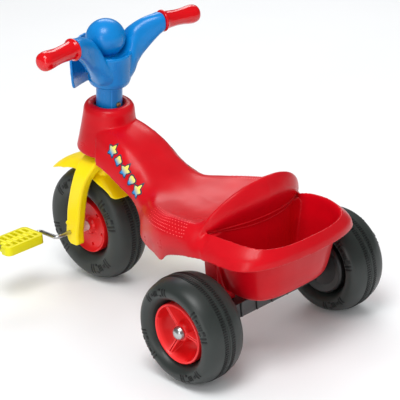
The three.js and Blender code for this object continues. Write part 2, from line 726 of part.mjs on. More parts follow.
function grip(side) {
  const length = GRIP_START.distanceTo(GRIP_END);
  const bore = 8 + GAP;
  const depth = length * 0.8 + 1;
  const profile = [
    [bore, GAP], [16, GAP], [17.6, 1.5], [17.6, 4], [15.6, 6], [13.6, 18], [12.9, 30], [13.4, 42], [15, 54],
    [15.2, 62], [13.2, 68.5], [8, 72], [0, 73], [0, depth], [bore, depth], [bore, GAP],
  ];
  const geometry = turnedZ(profile, 18);
  const along = GRIP_END.clone().sub(GRIP_START).normalize();
  along.x *= side;
  geometry.applyQuaternion(new THREE.Quaternion().setFromUnitVectors(v3(0, 0, 1), along));
  return geometry.translate(side * GRIP_START.x, GRIP_START.y, GRIP_START.z);
}

function steering() {
  node('fork', fork(), YELLOW);
  node('handlebar', handlebar(), BLUE);
  node('grip_left', grip(1), GRIP_RED);
  node('grip_right', grip(-1), GRIP_RED);
  const stemScrew = screw(4, 2.6, 2, 14).rotateX(Math.PI / 2).translate(0, STEM_R + 3, 82);
  node('stem_screw', raked(stemScrew), BRASS);
}

function frame() {
  node('body_shell', bodyShell(), RED);
  node('head_bush_upper', raked(turnedZ(ring(BUSH_R, STEM_R + GAP, 55, 67), 28)), NYLON);
  node('head_bush_lower', raked(turnedZ(ring(BUSH_R, STEM_R + GAP, 5, 17), 28)), NYLON);
  node('axle_carrier', axleCarrier(), BLACK);
  for (const [side, name] of [[1, 'left'], [-1, 'right']]) {
    const carrierScrew = screw(5, 3, 2.2, 14).translate(side * 72, -25, 70 - 3 - GAP);
    node(`carrier_screw_${name}`, carrierScrew, STEEL);
  }
  const axleEnd = REAR_X + 27;
  const axle = bar(v3(-axleEnd, 0, REAR_R), v3(axleEnd, 0, REAR_R), AXLE_R, AXLE_R, 24);
  node('rear_axle', axle, STEEL);
}

frame();
rearWheel(1, 'left');
rearWheel(-1, 'right');
frontWheelAndCrank();
steering();

export default root;
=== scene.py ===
import math

import bmesh
import bpy
import numpy as np
from mathutils import Matrix, Vector
from mathutils.bvhtree import BVHTree


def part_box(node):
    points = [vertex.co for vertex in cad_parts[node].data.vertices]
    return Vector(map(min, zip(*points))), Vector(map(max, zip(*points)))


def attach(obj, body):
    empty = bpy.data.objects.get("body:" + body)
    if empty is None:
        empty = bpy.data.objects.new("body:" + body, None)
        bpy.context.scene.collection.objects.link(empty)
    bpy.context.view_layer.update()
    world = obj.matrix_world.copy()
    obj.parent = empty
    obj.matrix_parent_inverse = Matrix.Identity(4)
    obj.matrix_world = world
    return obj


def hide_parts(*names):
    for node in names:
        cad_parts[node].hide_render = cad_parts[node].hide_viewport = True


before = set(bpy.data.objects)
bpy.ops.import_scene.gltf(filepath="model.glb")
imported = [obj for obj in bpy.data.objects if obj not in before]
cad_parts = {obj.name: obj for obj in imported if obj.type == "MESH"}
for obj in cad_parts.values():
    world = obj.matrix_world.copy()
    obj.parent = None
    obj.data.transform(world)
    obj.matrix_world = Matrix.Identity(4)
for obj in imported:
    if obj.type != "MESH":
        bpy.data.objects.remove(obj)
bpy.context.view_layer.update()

# Lengths are millimetres in this script's own frame: the rear axle is at y = 0, the ground at
# z = 0, +X is the rider's left and the front wheel lies towards -Y.
MM = 0.001


def middle(node):
    low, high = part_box(node)
    return (low + high) / 2


AXLE_Y = middle("rear_axle").y / MM
REAR_Z = middle("rear_axle").z / MM
REAR_X = middle("rear_tyre_left").x / MM
FRONT_Y = middle("crank_rod").y / MM - AXLE_Y
FRONT_Z = middle("crank_rod").z / MM
REAR_R, REAR_WIDTH = 82.5, 75
FRONT_R, FRONT_WIDTH = 97.5, 70
RIM_R = 47
TYRE_POWER = 2.3
AXLE_R, ROD_R = 5, 3.5
GAP = 0.3
CRANK_X, CRANK_ARM, SPINDLE_END_X = 90, 45, 181
PEDAL_INNER_X, PEDAL_OUTER_X, PEDAL_LENGTH, PEDAL_T, PEDAL_DROP = 100, 175, 54, 15, 2.2
RAKE = math.atan(0.152)
HEAD = Vector((0, -340.1, 240))
HEAD_HEIGHT, HEAD_TOP_R, HEAD_BASE_R = 80, 39.5, 51
STEM_R, SPIGOT_R, BUSH_R = 21, 17, 23
COWL_R, SHIELD_HALF = 34, 60
SHELL_T = 3
GUARD_R, GUARD_HALF = 119, 37
GRIP_START, GRIP_END = Vector((89, -290, 435)), Vector((161, -282, 432.5))
UP_AXIS = Vector((0, math.sin(RAKE), math.cos(RAKE)))
STEER = Matrix.Translation(HEAD) @ Matrix.Rotation(-RAKE, 4, "X")
SIDES = (("left", 1), ("right", -1))

# Where the printed shapes fade: z + 0.745 y along the middle of their row, in metres.
FADE_MIDDLE = 0.237 + 0.745 * (AXLE_Y - 241.5) * MM

# ---------------------------------------------------------------- materials


def mix(nodes, links, factor, a, b):
    node = nodes.new("ShaderNodeMix")
    node.data_type = "RGBA"
    links.new(factor, node.inputs[0])
    for socket, value in ((node.inputs[6], a), (node.inputs[7], b)):
        if hasattr(value, "is_output"):
            links.new(value, socket)
        else:
            socket.default_value = (*value, 1)
    return node.outputs[2]


def noise(nodes, links, scale, detail=4.0, stretch=(1, 1, 1), rough=0.55):
    place = nodes.new("ShaderNodeTexCoord")
    mapping = nodes.new("ShaderNodeMapping")
    mapping.inputs["Scale"].default_value = stretch
    links.new(place.outputs["Object"], mapping.inputs[0])
    texture = nodes.new("ShaderNodeTexNoise")
    texture.inputs["Scale"].default_value = scale
    texture.inputs["Detail"].default_value = detail
    texture.inputs["Roughness"].default_value = rough
    links.new(mapping.outputs[0], texture.inputs["Vector"])
    return texture.outputs[0]


def ramp(nodes, links, source, low, high, bottom=0.0, top=1.0):
    node = nodes.new("ShaderNodeMapRange")
    for name, value in (("From Min", low), ("From Max", high), ("To Min", bottom), ("To Max", top)):
        node.inputs[name].default_value = value
    links.new(source, node.inputs["Value"])
    return node.outputs[0]


def blank(name):
    made = bpy.data.materials.new(name)
    made.use_nodes = True
    nodes = made.node_tree.nodes
    return made, nodes, made.node_tree.links, nodes["Principled BSDF"]


def bumped(nodes, links, height, strength, distance):
    bump = nodes.new("ShaderNodeBump")
    bump.inputs["Strength"].default_value = strength
    bump.inputs["Distance"].default_value = distance
    links.new(height, bump.inputs["Height"])
    return bump


def plastic(name, colour, rough=0.3, dark=0.82, coat=0.25, grain=0.06, spec=0.5):
    """Moulded plastic: flow marks in colour, uneven gloss, a fine skin and rubbed, paler edges."""
    made, nodes, links, shader = blank(name)
    flow = noise(nodes, links, 9, 3, (1, 1, 2.5))
    deep = tuple(c * dark for c in colour)
    base = mix(nodes, links, ramp(nodes, links, flow, 0.35, 0.7), deep, colour)
    edge = ramp(nodes, links, nodes.new("ShaderNodeNewGeometry").outputs["Pointiness"], 0.53, 0.62)
    pale = tuple(min(1, c * 1.12 + 0.03) for c in colour)
    links.new(mix(nodes, links, edge, base, pale), shader.inputs["Base Color"])
    smudge = noise(nodes, links, 28, 6)
    uneven = ramp(nodes, links, smudge, 0.3, 0.75, rough * 0.85, rough * 1.3)
    links.new(uneven, shader.inputs["Roughness"])
    skin = noise(nodes, links, 900, 2)
    bump = bumped(nodes, links, skin, grain, 0.0004)
    wave = bumped(nodes, links, noise(nodes, links, 22, 2), 0.12, 0.001)
    links.new(bump.outputs[0], wave.inputs["Normal"])
    links.new(wave.outputs[0], shader.inputs["Normal"])
    shader.inputs["Coat Weight"].default_value = coat
    shader.inputs["Coat Roughness"].default_value = 0.12
    shader.inputs["Specular IOR Level"].default_value = spec
    return made


def two_tone(name, low, high):
    """A printed face that fades from one colour to the other up the flank."""
    made = plastic(name, low, 0.35, coat=0.2)
    nodes, links = made.node_tree.nodes, made.node_tree.links
    place = nodes.new("ShaderNodeTexCoord").outputs["Object"]
    split = nodes.new("ShaderNodeSeparateXYZ")
    links.new(place, split.inputs[0])
    rise = nodes.new("ShaderNodeMath")
    rise.operation = "MULTIPLY_ADD"
    links.new(split.outputs["Y"], rise.inputs[0])
    rise.inputs[1].default_value = 0.745
    links.new(split.outputs["Z"], rise.inputs[2])
    share = ramp(nodes, links, rise.outputs[0], FADE_MIDDLE - 0.006, FADE_MIDDLE + 0.006)
    links.new(mix(nodes, links, share, low, high), nodes["Principled BSDF"].inputs["Base Color"])
    return made


def rubber(name, colour):
    """Satin tyre skin, with dust in its pores."""
    made, nodes, links, shader = blank(name)
    cloud = noise(nodes, links, 14, 6)
    dusty = tuple(c * 1.35 + 0.008 for c in colour)
    base = mix(nodes, links, ramp(nodes, links, cloud, 0.4, 0.75, 0, 0.6), colour, dusty)
    links.new(base, shader.inputs["Base Color"])
    links.new(ramp(nodes, links, cloud, 0.3, 0.7, 0.36, 0.5), shader.inputs["Roughness"])
    bump = bumped(nodes, links, noise(nodes, links, 700, 3), 0.18, 0.0005)
    links.new(bump.outputs[0], shader.inputs["Normal"])
    shader.inputs["Specular IOR Level"].default_value = 0.42
    return made


def metal(name, colour, rough):
    """Metal drawn along its length, with a fine haze."""
    made, nodes, links, shader = blank(name)
    streak = noise(nodes, links, 120, 4, (0.08, 1, 1))
    deep = tuple(c * 0.72 for c in colour)
    base = mix(nodes, links, ramp(nodes, links, streak, 0.3, 0.7), deep, colour)
    links.new(base, shader.inputs["Base Color"])
    uneven = ramp(nodes, links, streak, 0.2, 0.8, rough * 0.7, rough * 1.5)
    links.new(uneven, shader.inputs["Roughness"])
    bump = bumped(nodes, links, streak, 0.08, 0.0003)
    links.new(bump.outputs[0], shader.inputs["Normal"])
    shader.inputs["Metallic"].default_value = 1.0
    return made


def linear(r, g, b):
    """A screen colour, 0 to 255, as linear light."""
    return tuple(((c / 255 + 0.055) / 1.055) ** 2.4 if c > 10 else c / 3294.6 for c in (r, g, b))


RED = plastic("body_red", linear(206, 4, 22), 0.32, coat=0.06, spec=0.2)
# The seat pips are painted a paler pink than the body red. This is a painted highlight for light caught
# by the grip texture, not their own colour.
PIP_HIGHLIGHT_RED = plastic("seat_pips_painted_highlight", linear(228, 84, 90), 0.5, coat=0.0, spec=0.3)
RIM_RED = plastic("rim_red", linear(222, 16, 20), 0.34, coat=0.12, spec=0.25)
GRIP_RED = plastic("grip_red", linear(214, 0, 14), 0.18, coat=0.4, spec=0.35)
BLUE = plastic("cowl_blue", linear(0, 128, 205), 0.28, coat=0.15, spec=0.3)
YELLOW = plastic("fork_yellow", linear(255, 226, 0), 0.34, dark=0.95, coat=0.08, spec=0.25)
PEDAL_YELLOW = plastic("pedal_yellow", linear(226, 218, 10), 0.42, dark=0.92, coat=0.0, spec=0.25)
STICKER_EDGE = plastic("sticker_edge", linear(16, 44, 74), 0.4, coat=0.1)
STICKER_FACE = two_tone("sticker_face", linear(30, 130, 200), linear(246, 226, 90))
BLACK = plastic("black_plastic", linear(28, 28, 28), 0.4)
NYLON = plastic("nylon", linear(225, 222, 212), 0.45, dark=0.93)
RUBBER = rubber("tyre", linear(42, 47, 45))
MARK = rubber("tyre_mark", linear(14, 15, 15))
STEEL = metal("steel", (0.62, 0.62, 0.63), 0.28)
BRASS = metal("brass", (0.56, 0.43, 0.2), 0.4)

# ---------------------------------------------------------------- mesh tools


def spline(points, ts):
    """Centripetal Catmull-Rom through points, at ts from 0 to 1 of the number of spans."""
    p = np.asarray(points, float)
    spans = len(p) - 1
    whole = np.concatenate([[2 * p[0] - p[1]], p, [2 * p[-1] - p[-2]]])
    made = []
    for t in np.asarray(ts, float) * spans:
        i = min(int(t), spans - 1)
        w = t - i
        a, b, c, d = whole[i : i + 4]
        ta, tb, tc = (max(np.linalg.norm(v - u), 1e-6) ** 0.5 for u, v in ((a, b), (b, c), (c, d)))
        m0 = ((b - a) / ta - (c - a) / (ta + tb) + (c - b) / tb) * tb
        m1 = ((c - b) / tb - (d - b) / (tb + tc) + (d - c) / tc) * tb
        h = 2 * w**3 - 3 * w**2 + 1, w**3 - 2 * w**2 + w, 3 * w**2 - 2 * w**3, w**3 - w**2
        made.append(h[0] * b + h[1] * m0 + h[2] * c + h[3] * m1)
    return np.array(made)


def solid(name, points, faces):
    """A mesh object from points in millimetres."""
    data = bpy.data.meshes.new(name)
    at = np.asarray(points, float) * MM
    at[:, 1] += AXLE_Y * MM
    data.from_pydata(at.tolist(), [], [list(map(int, f)) for f in faces])
    work = bmesh.new()
    work.from_mesh(data)
    bmesh.ops.remove_doubles(work, verts=work.verts, dist=1e-6)
    bmesh.ops.recalc_face_normals(work, faces=work.faces)
    work.to_mesh(data)
    work.free()
    made = bpy.data.objects.new(name, data)
    bpy.context.scene.collection.objects.link(made)
    return made


def moved(points, matrix):
    rows = np.array(matrix)
    return np.asarray(points, float) @ rows[:3, :3].T + rows[:3, 3]


def loft(rings, closed_ends=True):
    """Points and faces of a skin between closed rings, capped at both ends."""
    rings = np.asarray(rings, float)
    many, count, _ = rings.shape
    faces = []
    for r in range(many - 1):
        for i in range(count):
            j = (i + 1) % count
            faces.append((r * count + i, r * count + j, (r + 1) * count + j, (r + 1) * count + i))
    if closed_ends:
        faces.append(tuple(range(count))[::-1])
        faces.append(tuple((many - 1) * count + i for i in range(count)))
    return rings.reshape(-1, 3), faces


def turned(profile, steps, axis="X", place=(0, 0, 0)):
    """A turned solid from (along, radius) pairs that close on themselves or end on the axis."""
    rings = []
    for along, radius in profile:
        angle = np.linspace(0, 2 * math.pi, steps, endpoint=False)
        side = radius * np.cos(angle), radius * np.sin(angle)
        along_row = np.full(steps, along)
        row = (along_row, *side) if axis == "X" else (*side, along_row)
        rings.append(np.stack(row, 1))
    closes = profile[0] == profile[-1]
    points, faces = loft(rings[:-1] if closes else rings, not closes)
    if closes:
        last = (len(profile) - 2) * steps
        faces += [(last + i, last + (i + 1) % steps, (i + 1) % steps, i) for i in range(steps)]
    return points + np.array(place), faces


def together(*parts):
    points, faces, start = [], [], 0
    for p, f in parts:
        points.append(p)
        faces += [tuple(i + start for i in face) for face in f]
        start += len(p)
    return np.concatenate(points), faces


def block(low, high):
    x, y, z = zip(low, high)
    points = np.array([(a, b, c) for a in x for b in y for c in z], float)
    faces = [(0, 1, 3, 2), (4, 6, 7, 5), (0, 4, 5, 1), (2, 3, 7, 6), (0, 2, 6, 4), (1, 5, 7, 3)]
    return points, faces


def rod(start, end, r0, r1=None, steps=48):
    start, end = Vector(start), Vector(end)
    turn = Matrix.Translation(start) @ (end - start).to_track_quat("Z", "Y").to_matrix().to_4x4()
    profile = [(0, r0), ((end - start).length, r0 if r1 is None else r1)]
    points, faces = turned(profile, steps, "Z")
    return moved(points, turn), faces


def use(made, kind, **settings):
    """Adds a modifier and applies it."""
    modifier = made.modifiers.new(kind.lower(), kind)
    for name, value in settings.items():
        setattr(modifier, name, value)
    graph = bpy.context.evaluated_depsgraph_get()
    data = bpy.data.meshes.new_from_object(made.evaluated_get(graph))
    made.modifiers.clear()
    made.data = data
    return made


def combine(made, tools, operation):
    """Joins or cuts solids, and removes the tools."""
    for tool in tools:
        use(made, "BOOLEAN", operation=operation, object=tool, solver="MANIFOLD")
        bpy.data.objects.remove(tool)
    return made


def finished(made, body, material, slot, *nodes, sharp=35):
    """Shades a piece, gives it its material and hands it to its body."""
    made.data.materials.clear()
    made.data.materials.append(material)
    for polygon in made.data.polygons:
        polygon.use_smooth = True
    made.data.set_sharp_from_angle(angle=math.radians(sharp))
    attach(made, body)
    if nodes:
        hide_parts(*nodes)
    return made


# ---------------------------------------------------------------- body shell

# Half sections from the neck to the back of the seat, each from the middle over the shoulder or
# the seat edge to the skirt's lower edge.
SECTIONS = [
    [(0, -318, 294), (16, -318, 293.5), (30, -318, 289), (41, -317, 277), (47, -316, 259),
     (52, -314, 243), (54, -311, 231)],
    [(0, -289, 286), (17, -289, 285.5), (33, -288, 281), (44, -287, 269), (50, -286, 251),
     (54, -286, 236), (56, -287, 225)],
    [(0, -254, 271), (18, -254, 270.5), (34, -253, 266), (46, -251, 254), (53, -249, 238),
     (57, -247, 222), (59, -247, 208)],
    [(0, -221, 247), (19, -221, 246.5), (35, -220, 241), (47, -218, 230), (56, -215, 218),
     (61, -213, 207), (62, -216, 194)],
    [(0, -186, 222.5), (24, -186, 222), (43, -185, 217.5), (57, -185, 210.5), (68, -185, 203),
     (73, -187, 190), (71, -193, 174)],
    [(0, -155, 209.5), (30, -155, 210), (57, -156, 211), (74, -157, 209), (87, -158, 200),
     (91, -164, 182), (86, -176, 154)],
    [(0, -122, 204), (38, -122, 205), (70, -123, 209.5), (89, -124, 211), (105, -124, 201),
     (109, -126, 176), (106, -122, 147)],
    [(0, -102, 202), (40, -102, 203), (75, -102, 209), (96, -102, 213), (111, -102, 201.5),
     (116, -102, 178), (113, -102, 146)],
    [(0, -84, 201), (41, -84, 202), (77, -84, 209.5), (98, -84, 215.5), (113, -84, 201),
     (118, -84, 181), (117, -83, 160)],
    [(0, -58, 203), (41, -57, 204), (78, -54, 211), (100, -52, 217.5), (115, -51, 202),
     (119, -51, 184), (118, -51, 169)],
    [(0, -30, 222), (38, -31, 219.5), (73, -33, 217), (99, -33, 218), (112, -33, 204),
     (118, -30, 187), (119, -28, 173)],
    [(0, -5, 254), (36, -8, 249), (68, -13, 237), (95, -21, 222), (106, -23, 205),
     (116, -20, 188), (119, -16, 175)],
    [(0, 12, 271), (34, 9.5, 267), (65, 3, 255), (91, -9, 233), (102, -19, 207),
     (115, -13, 190), (119, -8, 176)],
    [(0, 24, 246), (34, 20.5, 243), (64, 11, 233), (88, -5, 216), (99, -17, 206.5),
     (115, -9, 191), (120, -3, 176)],
    [(0, 15, 204.5), (33, 11, 204.5), (61, 1, 205), (82, -10, 206), (95, -17, 207),
     (114, -5, 192), (121, 2, 177)],
]
EDGE_COLUMN = 4
TOP_STEPS, SKIRT_STEPS = 36, 14
STATIONS = np.concatenate([np.linspace(0, 0.92, 120, endpoint=False), np.linspace(0.92, 1, 36)])
LIP = [
    (95, -17, 207), (100, 6, 211), (101, 34, 212), (97, 62, 209.5), (84, 86, 206),
    (58, 98.5, 203.5), (28, 102.5, 202.5), (0, 103, 202.5),
]
FLARE_MIDDLE = [
    (114, -5, 192), (115, 8, 195), (117, 34, 195), (114, 64, 193), (99, 90, 190), (70, 104, 189),
    (35, 109, 189), (0, 110, 189),
]
FLARE_EDGE = [
    (121, 2, 177), (122, 14, 178), (123, 38, 178.5), (120, 66, 178), (105, 88, 178),
    (77, 102, 178), (38, 109.5, 178), (0, 111.5, 178),
]
FLOOR_EDGE = [
    (58, 0, 109), (61, 12, 109), (63, 24, 109), (62, 36, 109), (56, 47, 109), (40, 54, 109),
    (20, 56, 109), (0, 56.5, 109),
]
FLOOR_FRONT = [(0, 8, 109), (20, 7, 109), (40, 4, 109), (58, 0, 109)]
WALL = [
    (0, 0), (0.1, 0.06), (0.22, 0.25), (0.4, 0.55), (0.55, 0.82), (0.68, 0.95), (0.85, 0.995),
    (1, 1),
]
FRONT_WALL = [
    (0, 0), (0.06, 0.1), (0.16, 0.28), (0.32, 0.56), (0.5, 0.82), (0.66, 0.95), (0.84, 0.995),
    (1, 1),
]
WALL_STEPS = 26


def mirrored(row):
    """A half row from the middle out, with its mirror image in front."""
    row = np.asarray(row)
    return np.concatenate([(row * (-1, 1, 1))[:0:-1], row])


def body_rows():
    rails = np.array([spline([s[c] for s in SECTIONS], STATIONS) for c in range(len(SECTIONS[0]))])
    edge = EDGE_COLUMN / (len(SECTIONS[0]) - 1)
    ts = np.concatenate([
        np.linspace(0, edge, TOP_STEPS, endpoint=False),
        np.linspace(edge, 1, SKIRT_STEPS + 1),
    ])
    return np.array([mirrored(spline(rails[:, i], ts)) for i in range(len(STATIONS))])


def half_rim(table):
    """A rim line from the left seat corner round the rear to the right one."""
    half = spline(table, np.linspace(0, 1, TOP_STEPS + 1))
    return np.concatenate([half, (half * (-1, 1, 1))[-2::-1]]) * (-1, 1, 1)


def wall_rows(top, bottom, steps):
    ts = np.linspace(0, 1, WALL_STEPS + 1)
    path = spline([(a, b, 0) for a, b in steps], ts)
    rows = []
    for inwards, down, _ in path:
        share = np.array([inwards, inwards, down])
        rows.append(top * (1 - share) + bottom * share)
    return np.array(rows)


def grid_faces(rows, flip=False):
    many, count, _ = rows.shape
    faces = []
    for r in range(many - 1):
        for c in range(count - 1):
            a, b = r * count + c, (r + 1) * count + c
            face = (a, b, b + 1, a + 1)
            faces.append(face[::-1] if flip else face)
    return rows.reshape(-1, 3), faces


def thickened(name, parts, thickness):
    """A wall of even thickness behind one open surface."""
    made = solid(name, *together(*parts))
    work = bmesh.new()
    work.from_mesh(made.data)
    bmesh.ops.remove_doubles(work, verts=work.verts, dist=2e-6)
    bmesh.ops.dissolve_degenerate(work, dist=1e-6, edges=work.edges)
    work.to_mesh(made.data)
    work.free()
    return use(made, "SOLIDIFY", thickness=thickness * MM, offset=-1, use_even_offset=False)


def body_skin():
    rows = body_rows()
    last = rows[-1]
    front = last[SKIRT_STEPS:-SKIRT_STEPS]
    rims = (LIP, FLARE_MIDDLE, FLARE_EDGE, FLOOR_EDGE)
    lip, flare_middle, flare_edge, floor_edge = map(half_rim, rims)
    floor_front = mirrored(spline(FLOOR_FRONT, np.linspace(0, 1, TOP_STEPS + 1)))
    skirt = last[: SKIRT_STEPS + 1][::-1]
    ts = np.linspace(0, 1, SKIRT_STEPS + 1)
    flare = np.array([spline([a, b, c], ts) for a, b, c in zip(lip, flare_middle, flare_edge)])
    flare[0] = skirt
    flare[-1] = skirt * (-1, 1, 1)
    rear = wall_rows(lip, floor_edge, WALL)
    wall = wall_rows(front, floor_front, FRONT_WALL)
    rear[:, 0], rear[:, -1] = wall[:, 0], wall[:, -1]
    share = np.linspace(0, 1, 10)[:, None, None]
    floor = floor_front * (1 - share) + floor_edge * share
    patches = [
        grid_faces(rows),
        grid_faces(flare.transpose(1, 0, 2)),
        grid_faces(wall),
        grid_faces(rear, True),
        grid_faces(floor),
    ]
    return thickened("body_shell_skin", patches, SHELL_T)


def head_column():
    top = HEAD_HEIGHT
    bore = BUSH_R + GAP
    r = HEAD_TOP_R
    outline = [
        (0, bore), (0, 27), (top - 8, 27), (top - 8, r - 6), (0, HEAD_BASE_R - 4),
        (0, HEAD_BASE_R - 1.6),
        (0.8, HEAD_BASE_R - 0.5), (2.6, HEAD_BASE_R), (5, HEAD_BASE_R - 0.3), (20, 48), (40, 44.6),
        (top - 20, r + 2.2),
        (top - 12, r + 1.4), (top - 8, r + 0.6), (top - 5, r - 0.8), (top - 2.5, r - 3),
        (top - 0.8, r - 6),
        (top, r - 9.5), (top - 0.2, 28), (top - 0.9, 26), (top - 2.2, 24.3), (top - 4, bore), (0, bore),
    ]
    points, faces = turned(outline, 128, "Z")
    return solid("head_column", moved(points, STEER), faces)


def melted(made, voxel, passes):
    """Remakes a union as one even skin and rounds its joins, as a mould does."""
    use(made, "REMESH", mode="VOXEL", voxel_size=voxel * MM, adaptivity=0)
    return use(made, "SMOOTH", factor=0.5, iterations=passes)


LEG_INNER_X, LEG_OUTER_X = 55, 90


def body_shell():
    made = body_skin()
    made.name = "saddle_body"
    legs = [
        solid("leg", *block((LEG_INNER_X, -31, 92), (LEG_OUTER_X, -5, 204))),
        solid("leg", *block((-LEG_OUTER_X, -31, 92), (-LEG_INNER_X, -5, 204))),
    ]
    combine(made, [head_column()], "UNION")
    combine(made, legs, "UNION")
    melted(made, 1.5, 3)
    bore = solid("bore", *rod(HEAD - UP_AXIS * 20, HEAD + UP_AXIS * 120, BUSH_R + GAP, steps=96))
    combine(made, [bore], "DIFFERENCE")
    return finished(made, "frame", RED, "body_red", "body_shell", sharp=60)


def tube(points, radius, steps=12):
    """A round bar with domed ends along points."""
    p = np.asarray(points, float)
    along = np.gradient(p, axis=0)
    along /= np.linalg.norm(along, axis=1)[:, None]
    side = np.cross(along[0], (0.3, 0.2, 1))
    rings = []
    angle = np.linspace(0, 2 * math.pi, steps, endpoint=False)[:, None]
    last = len(p) - 1
    for i, (at, ahead) in enumerate(zip(p, along)):
        side = side - ahead * side.dot(ahead)
        side /= np.linalg.norm(side)
        other = np.cross(ahead, side)
        ends = [(-0.9, 0.4), (-0.6, 0.8)] if i == 0 else []
        tips = [(0.6, 0.8), (0.9, 0.4)] if i == last else []
        for shift, share in ends + [(0, 1)] + tips:
            circle = np.cos(angle) * side + np.sin(angle) * other
            rings.append(at + ahead * shift * radius + circle * radius * share)
    return loft(rings)


# The grip patch's reach along y, and its pips' half length, half width and height.
PATCH_FRONT, PATCH_REAR = -142, -46
PIP_LENGTH, PIP_WIDTH, PIP_HEIGHT = 1.0, 0.55, 0.32
SQUARE = ((-1, -1), (1, -1), (1, 1), (-1, 1))


def seat_details():
    """Two moulded lines behind the backrest, and a patch of grip pips on each seat edge."""
    rows = body_rows()
    lines = []
    for back in (1, 7):
        row = rows[-back][SKIRT_STEPS + 3 : -SKIRT_STEPS - 3]
        lines.append(tube(row + (0, 0.3, 0), 0.9))
    finished(solid("backrest_lines", *together(*lines)), "frame", RED, "body_red")
    middle_column = rows.shape[1] // 2
    for side, sign in SIDES:
        pips = []
        for i in range(2, len(rows) - 1):
            y = rows[i, middle_column, 1]
            if not PATCH_FRONT < y < PATCH_REAR:
                continue
            for k in range(-5, 3):
                j = middle_column + sign * (TOP_STEPS - 3 + 2 * k)
                if (i + k) % 2:
                    continue
                at = rows[i, j]
                u = rows[i + 1, j] - rows[i - 1, j]
                v = rows[i, j + 1] - rows[i, j - 1]
                u, v = u / np.linalg.norm(u), v / np.linalg.norm(v)
                out = np.cross(u, v)
                out = out / np.linalg.norm(out) * (1 if out[2] > 0 else -1)
                foot = [at + PIP_LENGTH * a * u + PIP_WIDTH * b * v - 0.1 * out for a, b in SQUARE]
                top = [at + 0.6 * a * u + 0.3 * b * v + PIP_HEIGHT * out for a, b in SQUARE]
                pips.append(loft([foot, top]))
        # The pips use the paler pink of a painted highlight, not the body's own red.
        finished(solid(f"seat_grip_{side}", *together(*pips)), "frame", PIP_HIGHLIGHT_RED, "body_red", sharp=80)


def outline_star(points, depth, steps=80):
    angle = np.linspace(0, 2 * math.pi, steps, endpoint=False)
    wave = np.abs(np.mod(angle * points / (2 * math.pi) + 0.5, 1) - 0.5) * 2
    radius = 1 - depth * wave**0.8
    return np.stack([radius * np.cos(angle + 0.5), radius * np.sin(angle + 0.5)], 1)


# The printed row's ends as (y, z), and each shape's number of points and their depth.
DECAL_START, DECAL_END = (-274, 261), (-209, 213)
DECAL_SHAPES = [(5, 0.45), (4, 0.3), (5, 0.45), (3, 0.42), (5, 0.45)]
DECAL_LARGE, DECAL_SMALL = 12.4, 9.8


def decals(shell):
    """A row of plain shapes on each flank of the neck: a dark edge with a two-tone face."""
    graph = bpy.context.evaluated_depsgraph_get()
    tree = BVHTree.FromObject(shell, graph)
    shapes = [outline_star(points, depth) for points, depth in DECAL_SHAPES]
    start, end = np.array(DECAL_START), np.array(DECAL_END)
    ahead = (end - start) / np.linalg.norm(end - start)
    across = np.array([-ahead[1], ahead[0]])
    for side, sign in SIDES:
        for label, scale, lift, material, slot in (
            ("edge", 1.0, 0.25, STICKER_EDGE, "cowl_blue"),
            ("face", 0.76, 0.4, STICKER_FACE, "fork_yellow"),
        ):
            parts = []
            for n, shape in enumerate(shapes):
                centre = start + (end - start) * n / (len(shapes) - 1)
                size = (DECAL_LARGE if n % 2 == 0 else DECAL_SMALL) * scale
                top, bottom = [], []
                for share in np.linspace(0.02, 1, 8):
                    flat = centre + size * share * (shape[:, :1] * ahead + shape[:, 1:] * across)
                    ring = []
                    for y, z in flat:
                        origin = Vector((sign * 0.12, (y + AXLE_Y) * MM, z * MM))
                        hit, normal, _, _ = tree.ray_cast(origin, Vector((-sign, 0, 0)))
                        ring.append((np.array(hit) / MM - (0, AXLE_Y, 0), np.array(normal)))
                    top.append([p + n_ * lift for p, n_ in ring])
                    bottom.append([p - n_ * 0.1 for p, n_ in ring])
                parts.append(loft(top + bottom[::-1]))
            made = solid(f"sticker_{label}_{side}", *together(*parts))
            finished(made, "frame", material, slot, sharp=50)


# ---------------------------------------------------------------- rear axle and carrier


def rounded(made, width, segments=3, angle=35):
    """Breaks a piece's sharp edges."""
    limit = math.radians(angle)
    settings = {"segments": segments, "limit_method": "ANGLE", "angle_limit": limit}
    return use(made, "BEVEL", width=width * MM, **settings)


def carrier():
    made = solid("axle_beam", *block((-100, -18, 69), (100, 14, 91.7)))
    extra = []
    for x in (-72, 72):
        extra.append(solid("boss", *rod((x, -25, 70), (x, -25, 91.7), 7)))
        extra.append(solid("web", *block((x - 5, -25, 70), (x + 5, -17, 90))))
    for x in (-96, -64, -32, 0, 32, 64, 96):
        extra.append(solid("rib", *block((x - 1.2, 13, 70), (x + 1.2, 16.5, 91))))
    combine(made, extra, "UNION")
    middles = (-80, -48, -16, 16, 48, 80)
    cuts = [solid("pocket", *block((x - 13, -14, 60), (x + 13, -7.5, 88))) for x in middles]
    cuts += [solid("hole", *rod((x, -25, 60), (x, -25, 100), 2.6, steps=24)) for x in (-72, 72)]
    cuts.append(solid("bore", *rod((-120, 0, REAR_Z), (120, 0, REAR_Z), AXLE_R + GAP)))
    combine(made, cuts, "DIFFERENCE")
    finished(rounded(made, 0.7, 2), "frame", BLACK, "black_plastic", "axle_carrier")


# ---------------------------------------------------------------- wheels


